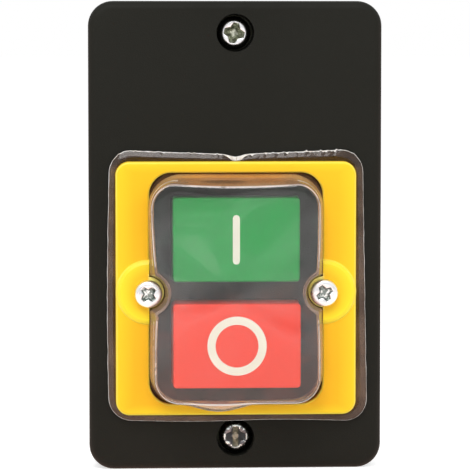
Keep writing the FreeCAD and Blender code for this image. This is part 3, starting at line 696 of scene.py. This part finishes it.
bm = bmesh.new()
for side in (-1, 1):
    hole = bmesh.ops.create_cone(
        bm, cap_ends=True, segments=32, radius1=ear_hole_radius, radius2=ear_hole_radius,
        depth=60.0
    )["verts"]
    bmesh.ops.rotate(bm, verts=hole, matrix=Matrix.Rotation(math.pi / 2, 3, "X"))
    bmesh.ops.translate(bm, verts=hole, vec=(side * ear_x, 0, switch_z))
cut_away(cover, finish_mesh("cover_cutter", bm, MM))


def clear_vinyl(name, dark, light, through, rough, grain):
    """The cover's next material: clear vinyl that lets part of the light through and is cloudy."""
    material, tree, shader = new_material(name, light, IOR=1.48)
    shader.inputs["Transmission Weight"].default_value = through
    tone = spread(tree, noise(tree, grain, 3.0), 0.35, 0.65, 0.0, 1.0)
    tree.links.new(blend_colours(tree, tone, dark, light), shader.inputs["Base Color"])
    tree.links.new(spread(tree, tone, 0.0, 1.0, 0.8 * rough, 1.2 * rough),
                   shader.inputs["Roughness"])
    cover.data.materials.append(material)
    return tree, shader


clear_vinyl("clear_front", (0.99, 0.985, 0.965), (1.0, 0.995, 0.98), 1.0, 0.04, 60.0)
# Painted light: the wall's tan stands for the yellow frame seen through the clear sheet.
tree, shader = clear_vinyl("clear_wall", (0.60, 0.45, 0.36), (0.80, 0.64, 0.53), 0.75, 0.15, 90.0)
axes = object_axes(tree)
# Painted reflection of the yellow frame: orange streaks on the wall's top, greyer towards its
# corners.
streak = spread(tree, noise(tree, 500.0, 2.0, 0.5, (0.12, 1, 1)), 0.35, 0.65, 0.0, 1.0)
at_top = beyond(tree, axes["Z"], 4.0, 9.0)
tinted(tree, shader, at_top, blend_colours(tree, streak, (0.85, 0.42, 0.16), (1.0, 0.66, 0.36)))
at_corner = calculated(tree, "MULTIPLY", at_top,
                       beyond(tree, off(tree, axes["X"], 0.0), 9.0, 15.0, 0.8))
tinted(tree, shader, at_corner, (0.62, 0.46, 0.34))
# Painted shade: a darker patch where the wall's top lies flat under the ridge.
shade_middle, shade_half = {"X": -3.0, "Y": -16.6}, {"X": 6.5, "Y": 0.7}
squares = []
for axis, middle in shade_middle.items():
    share = calculated(tree, "DIVIDE", off(tree, axes[axis], middle), shade_half[axis] * MM)
    squares.append(calculated(tree, "POWER", share, 2.0))
shade = calculated(tree, "MULTIPLY", at_top,
                   spread(tree, calculated(tree, "ADD", *squares), 0.3, 1.0, 0.9, 0.0))
tinted(tree, shader, shade, (0.40, 0.24, 0.13))
tree, shader = clear_vinyl("clear_flange", (0.25, 0.14, 0.08), (0.50, 0.33, 0.22),
                           0.84, 0.12, 160.0)
shader.inputs["Specular IOR Level"].default_value = 0.1
# Painted shade: the flange is darker along its top, where the lamp above lights it more.
at_top = beyond(tree, object_axes(tree)["Z"], 15.0, 16.0, 0.75)
tinted(tree, shader, at_top, (0.15, 0.085, 0.05))
# The cut edge's white is partly real frosting and partly a painted highlight.
clear_vinyl("cut_edge", (0.80, 0.72, 0.64), (1.0, 0.99, 0.97), 0.2, 0.45, 900.0)
# Painted highlight: the ridge is pale as a highlight line along it, and paler still at the bottom,
# where the lamps don't reach it.
tree, shader = clear_vinyl("ridge_painted_highlight", (0.50, 0.41, 0.37), (0.95, 0.86, 0.82),
                           0.4, 0.3, 140.0)
at_bottom = within(tree, object_axes(tree)["Z"], -36.0, -34.0)
tinted(tree, shader, at_bottom, (1.0, 0.98, 0.97))
# Painted light: the fold in the lower wall is pale yellow, for the yellow frame seen through it.
clear_vinyl("clear_fold", (1.0, 0.92, 0.76), (1.0, 0.97, 0.88), 0.85, 0.12, 200.0)
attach(cover, "housing")
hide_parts("clear_cover")

# Clamp frame: a satin moulding in yellow plastic that clamps the cover's flange on the plate.
# A screw through each of its two ears holds it. Its colour carries painted light: lighter towards
# the top, painted highlights on its outer border, rounded edges and pad rims, and painted light on
# the pads and on the bosses beside the cover.
frame_yellow = moulded("frame_yellow", (0.95, 0.475, 0.005), (0.97, 0.505, 0.009),
                       0.3, 0.38, 1200.0, 0.00003)
tree, shader = opened(frame_yellow)
axes = object_axes(tree)
aside = off(tree, axes["X"], 0.0)
# Painted light: lighter towards the top, as the lamp above lights it.
tinted(tree, shader, beyond(tree, axes["Z"], -30.0, 10.0, 0.5), (0.96, 0.56, 0.008))
# Painted highlight along the outer border.
painted_outer_highlight = calculated(tree, "MAXIMUM", beyond(tree, aside, 22.5, 26.2),
                     beyond(tree, off(tree, axes["Z"], cover_z), 25.6, 27.6))
tinted(tree, shader, painted_outer_highlight, (0.96, 0.62, 0.014))
reach = distance_to(tree, ear_x, switch_z, "X")
# Painted light on the pads: lighter from the screw out to the rim, with a painted highlight on the
# rim.
on_pad = within(tree, reach, 7.1, 7.3)
painted_pad_light = spread(tree, reach, 3.6 * MM, 6.2 * MM, 0.15, 1.0)
tinted(tree, shader, calculated(tree, "MULTIPLY", on_pad, painted_pad_light), (0.98, 0.74, 0.022))
rim = calculated(tree, "MULTIPLY", on_pad, beyond(tree, reach, 5.6, 6.6, 0.6))
tinted(tree, shader, rim, (0.98, 0.74, 0.03))
# Painted light on the bosses beside the cover, which stand in the cover's shade.
painted_boss_light = calculated(tree, "MULTIPLY", within(tree, reach, 4.0, 4.2),
                  within(tree, aside, 18.9, 19.6))
tinted(tree, shader, painted_boss_light, (1.0, 0.92, 0.26))
# Painted highlight on the rounded edges, by which way their surface faces.
facing = tree.nodes.new("ShaderNodeNewGeometry")
slope = tree.nodes.new("ShaderNodeSeparateXYZ")
tree.links.new(facing.outputs["Normal"], slope.inputs[0])
level = calculated(tree, "ABSOLUTE", slope.outputs["Y"])
painted_edge_highlight = calculated(tree, "MULTIPLY", spread(tree, level, 0.3, 0.6, 0.0, 0.8),
                       spread(tree, level, 0.8, 0.93, 1.0, 0.0))
tinted(tree, shader, painted_edge_highlight, (1.0, 0.80, 0.10))
dress(frame_yellow, "clamp_frame")

# Cross-recessed screws: zinc-plated pan heads, cold-formed with a cross recess. Their colours
# carry painted light: dark recess walls as painted shade, bright recess floors and patches as
# painted glints, head edges darkened as painted shade in the counterbores, and the bottom screw
# darker all over with painted glints and painted highlights at its arm ends. The plate's two are M4
# and thread into the panel, the ears' two are M3 in brass inserts.
def recess_metal(name, dull, bright, metallic=1.0):
    """Metal of a recess, with pressed patches whose bright colour is a painted glint."""
    material, tree, shader = new_material(name, dull, Metallic=metallic, Roughness=0.38)
    patches = noise(tree, 1500.0, 2.0)
    tree.links.new(blend_colours(tree, spread(tree, patches, 0.45, 0.57, 0.0, 1.0), dull, bright),
                   shader.inputs["Base Color"])
    bump(tree, shader, patches, 0.0002, 0.6)
    return material


top_screw_x, top_screw_z = -0.12, mount_z - 0.05
bottom_screw_x, bottom_screw_z = 0.2, -mount_z - 0.2
# Painted shade and glints: the frame screws' recess walls are dark and their floors bright.
recess_small = recess_metal("recess_small", (0.11, 0.13, 0.12), (0.40, 0.44, 0.42))
recess_floor = recess_metal("recess_floor", (0.24, 0.28, 0.26), (0.95, 0.98, 0.96))
recess_large = recess_metal("recess_large", (0.25, 0.265, 0.21), (0.60, 0.625, 0.51))
recess_bottom_shaded = recess_metal("recess_bottom_shaded", (0.28, 0.27, 0.20), (0.52, 0.45, 0.33), 0.3)
# Painted shade: the bottom screw's head is dark all over, with painted glints in noise patches.
zinc_painted_dark = metal("zinc_painted_dark", (0.22, 0.22, 0.23), (0.10, 0.10, 0.105), 0.25, 900.0, (1, 1, 1))
tree, shader = opened(zinc_painted_dark)
glint = spread(tree, noise(tree, 1300.0, 1.0), 0.56, 0.60, 0.0, 1.0)
painted_glint_colour, painted_head_shade = (0.86, 0.95, 0.92), (0.10, 0.10, 0.085)
tinted(tree, shader, glint, painted_glint_colour)
reach = distance_to(tree, bottom_screw_x, -bottom_screw_z, "Z")
# Painted shade: the head is dark at its edge, deep in the counterbore.
tinted(tree, shader, beyond(tree, reach, 2.6, 2.8), painted_head_shade)
# Painted highlights: bright bars on the head at the four ends of the recess arms.
arm_ends = calculated(tree, "MULTIPLY", beyond(tree, reach, 2.3, 2.45),
                      within(tree, reach, 2.7, 2.8))
axes = object_axes(tree)
beside_arms = calculated(tree, "MINIMUM", off(tree, axes["X"], bottom_screw_x),
                         off(tree, axes["Z"], bottom_screw_z))
at_arm_ends = calculated(tree, "MULTIPLY", arm_ends, within(tree, beside_arms, 0.65, 0.75))
tinted(tree, shader, at_arm_ends, painted_glint_colour)
deep_zinc = metal("deep_zinc", (0.93, 0.93, 0.93), (0.82, 0.83, 0.85), 0.3, 700.0, (1, 1, 1))
tree, shader = opened(deep_zinc)
# Painted shade: the top screw's head is dark at its edge, deep in the counterbore.
reach = distance_to(tree, top_screw_x, top_screw_z, "Z")
tinted(tree, shader, beyond(tree, reach, 2.5, 2.7), painted_head_shade)
tree, shader = opened(recess_bottom_shaded)
# Painted shade: the recess's side arms are darker than its upright arm.
side_arms = beyond(tree, off(tree, object_axes(tree)["X"], bottom_screw_x), 0.55, 0.7)
tinted(tree, shader, side_arms, (0.15, 0.15, 0.155))


def pan_screw(name, metals, place, turn, head, recess_size, shank, neck, thread_start, pitch):
    """Pan-head screw along +Y with its seat at place, in millimetres. The head is given by its
    radius, height and rounding, and the recess by its reach, drop, floor share and waist."""
    head_r, head_h, rounding = head
    shank_r, root_r, length = shank
    reach_r, drop, floor_share, waist = recess_size
    bm = bmesh.new()
    outline = [
        (0.0, head_h), (0.40, 0.99 * head_h), (0.68, 0.95 * head_h), (0.84, 0.87 * head_h),
        (0.94, 0.74 * head_h), (0.985, 0.55 * head_h), (1.0, 0.34 * head_h), (0.995, 0.06 * head_h),
        (0.975, 0.0),
    ]
    outline = [(max(0.0, 1 - (1 - r) * rounding) * head_r * (r > 0), h) for r, h in outline]
    outline += [(neck, 0.0), (neck, -thread_start)]
    steps = int((length - thread_start) / (pitch / 8))
    outline += [(shank_r, -thread_start - pitch / 8 * i) for i in range(1, steps)]
    outline += [(root_r * 0.92, -length + 0.02), (root_r * 0.85, -length), (0.0, -length)]
    line = [bm.verts.new((r, 0, h)) for r, h in outline]
    edges = [bm.edges.new(pair) for pair in zip(line, line[1:])]
    bmesh.ops.spin(
        bm, geom=line + edges, cent=(0, 0, 0), axis=(0, 0, 1), angle=2 * math.pi, steps=48,
        use_merge=True, use_duplicate=False
    )
    bmesh.ops.remove_doubles(bm, verts=bm.verts, dist=0.0001)
    # The thread winds down the shank and runs out at both of its ends.
    for vert in bm.verts:
        depth = -thread_start - vert.co.z
        reach = math.hypot(vert.co.x, vert.co.y)
        if depth > pitch / 16 and -vert.co.z < length - 0.01 and reach > root_r * 0.95:
            turned = math.atan2(vert.co.y, vert.co.x) / (2 * math.pi)
            wave = 0.5 + 0.5 * math.cos(2 * math.pi * (depth / pitch - turned))
            fade = min(1.0, depth / pitch, (length - thread_start - depth) / pitch)
            radius = root_r + (shank_r - root_r) * wave * fade
            vert.co.x *= radius / reach
            vert.co.y *= radius / reach
    bmesh.ops.recalc_face_normals(bm, faces=bm.faces)
    for face in bm.faces:
        face.smooth = True
    item = finish_mesh(name, bm, MM)
    for metal_finish in metals:
        item.data.materials.append(metal_finish)
    # The recess is a cross, because the cone's corners between its arms are drawn in.
    cutter = bmesh.new()
    star = bmesh.ops.create_cone(
        cutter, cap_ends=True, segments=12, radius1=floor_share * reach_r, radius2=1.08 * reach_r,
        depth=1.2 * drop
    )["verts"]
    for vert in star:
        if abs(math.sin(2 * math.atan2(vert.co.y, vert.co.x))) < 0.1:
            vert.co.x *= waist
            vert.co.y *= waist
    bmesh.ops.translate(cutter, verts=cutter.verts, vec=(0, 0, head_h - 0.4 * drop))
    bmesh.ops.recalc_face_normals(cutter, faces=cutter.faces)
    for face in cutter.faces:
        face.material_index = int(face.normal.z < -0.5)
    recess = finish_mesh(name + "_recess", cutter, MM)
    recess.data.materials.append(metals[1])
    recess.data.materials.append(metals[-1])
    cut_away(item, recess, "TRANSFER", overlapping=True)
    bm = bmesh.new()
    bm.from_mesh(item.data)
    bmesh.ops.rotate(bm, verts=bm.verts, matrix=Matrix.Rotation(math.radians(turn), 3, "Z"))
    bmesh.ops.rotate(bm, verts=bm.verts, matrix=Matrix.Rotation(math.pi / 2, 3, "X"))
    bmesh.ops.translate(bm, verts=bm.verts, vec=Vector(place) * MM)
    bm.to_mesh(item.data)
    bm.free()
    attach(item, "housing")
    return item


bore_floor_y, pad_y = -4.5, -13.7
m4_head, m4_shank = (3.7, 2.6, 1.0), (2.0, 1.62, 16.0)
m3_head, m3_shank = (3.05, 2.2, 0.5), (1.5, 1.2, 16.0)
for name, metals, x, z, turn, reach in (
    ("mount_screw_top", (deep_zinc, recess_large), top_screw_x, top_screw_z, 32.5, 2.6),
    ("mount_screw_bottom", (zinc_painted_dark, recess_bottom_shaded), bottom_screw_x, bottom_screw_z, 45, 2.55),
):
    screw = pan_screw(
        name, metals, (x, bore_floor_y, z), turn, m4_head, (reach, 1.6, 0.35, 0.66), m4_shank,
        neck=1.75, thread_start=4.5, pitch=0.7
    )
    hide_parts("mount_screws")
for name, side, turn, sink in (
    ("frame_screw_left", -1, 90, -0.25), ("frame_screw_right", 1, 75, -0.15)
):
    screw = pan_screw(
        name, (zinc, recess_small, recess_floor), (side * ear_x, pad_y, switch_z + sink), turn,
        m3_head, (1.9, 1.0, 0.66, 0.6), m3_shank, neck=1.3, thread_start=1.5, pitch=0.5
    )
    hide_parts("frame_screws")
